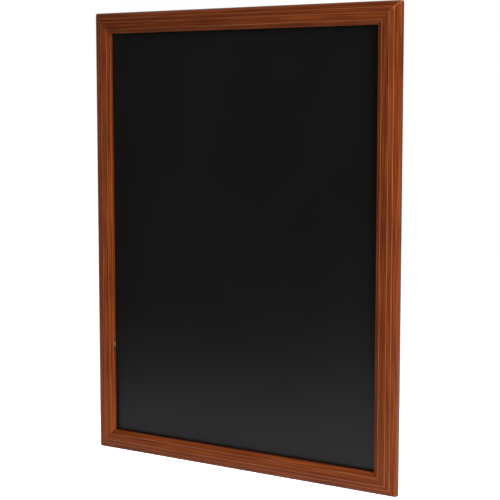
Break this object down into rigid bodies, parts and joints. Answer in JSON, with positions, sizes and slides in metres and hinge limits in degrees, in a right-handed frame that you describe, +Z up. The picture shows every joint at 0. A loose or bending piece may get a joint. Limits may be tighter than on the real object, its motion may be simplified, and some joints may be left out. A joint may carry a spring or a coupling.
{
  "type": "wall chalkboard",
  "caption": "Rectangular wall chalkboard: a black writing panel recessed in a mitred frame of stepped, red-brown lacquered wooden moulding, with swinging D-ring hangers on its back.",
  "frame": {"origin": "seat of the wall hook: the inner side of the top hanging ring's arch, on the board's middle line, with the ring up", "axes": "+X to the right as the writing side is seen, +Y from the writing side towards the wall, +Z up"},
  "size_m": [0.6, 0.0238, 0.8],
  "materials": {
    "stained_wood": "red-brown stain under satin lacquer",
    "chalk_black": "matt black writing lacquer",
    "hardboard": "bare hardboard",
    "zinc_steel": "bright zinc plating",
    "black_rubber": "matt moulded rubber"
  },
  "bodies": {
    "board": {"top_rail": "stained_wood", "bottom_rail": "stained_wood", "left_stile": "stained_wood", "right_stile": "stained_wood", "chalk_surface": "chalk_black", "panel_core": "hardboard", "hanger_plate_top": "zinc_steel", "hanger_plate_side": "zinc_steel", "hanger_screw_top_left": "zinc_steel", "hanger_screw_top_right": "zinc_steel", "hanger_screw_side_lower": "zinc_steel", "hanger_screw_side_upper": "zinc_steel", "wall_pad_top_left": "black_rubber", "wall_pad_top_right": "black_rubber", "wall_pad_bottom_left": "black_rubber", "wall_pad_bottom_right": "black_rubber", "mitre_nail_top_right_outer": "zinc_steel", "mitre_nail_top_right_inner": "zinc_steel", "mitre_nail_top_left_outer": "zinc_steel", "mitre_nail_top_left_inner": "zinc_steel", "mitre_nail_bottom_right_outer": "zinc_steel", "mitre_nail_bottom_right_inner": "zinc_steel", "mitre_nail_bottom_left_outer": "zinc_steel", "mitre_nail_bottom_left_inner": "zinc_steel", "panel_point_top_rail_1": "zinc_steel", "panel_point_top_rail_2": "zinc_steel", "panel_point_top_rail_3": "zinc_steel", "panel_point_bottom_rail_1": "zinc_steel", "panel_point_bottom_rail_2": "zinc_steel", "panel_point_bottom_rail_3": "zinc_steel", "panel_point_left_stile_1": "zinc_steel", "panel_point_left_stile_2": "zinc_steel", "panel_point_left_stile_3": "zinc_steel", "panel_point_left_stile_4": "zinc_steel", "panel_point_right_stile_1": "zinc_steel", "panel_point_right_stile_2": "zinc_steel", "panel_point_right_stile_3": "zinc_steel", "panel_point_right_stile_4": "zinc_steel"},
    "top_ring": {"hanger_ring_top": "zinc_steel"},
    "side_ring": {"hanger_ring_side": "zinc_steel"}
  },
  "joints": [
    {"name": "top_ring_hinge", "type": "hinge", "parent": "board", "child": "top_ring", "pos_m": [0, 0.00091, -0.01086], "axis": [-1, 0, 0], "range_deg": [0, 183]},
    {"name": "side_ring_hinge", "type": "hinge", "parent": "board", "child": "side_ring", "pos_m": [-0.28454, 0.00091, -0.3954], "axis": [0, 0, -1], "range_deg": [0, 183]}
  ]
}
